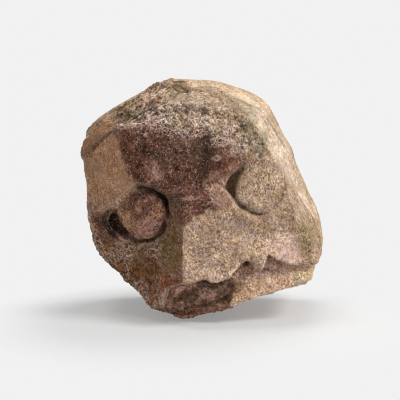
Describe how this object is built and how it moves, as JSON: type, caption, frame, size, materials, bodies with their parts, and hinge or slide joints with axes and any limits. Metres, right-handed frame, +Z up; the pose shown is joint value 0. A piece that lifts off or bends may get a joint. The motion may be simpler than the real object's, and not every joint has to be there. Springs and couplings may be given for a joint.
{
  "type": "stone corbel",
  "caption": "Weathered stone corbel carved as a grotesque head with round pellet eyes, a broken nose and an open mouth, cut off flat at the wall.",
  "frame": {"origin": "on the flat wall face, behind the point midway between the eyes", "axes": "+Z up with the head upright, +X to the right as one faces the head, +Y into the wall, so the head looks along -Y"},
  "size_m": [0.2618, 0.1874, 0.2599],
  "materials": {
    "sandstone": "rough, weathered, with dark patina, lichen and dirt"
  },
  "bodies": {
    "root": {"carved_stone_head": "sandstone"}
  },
  "joints": []
}
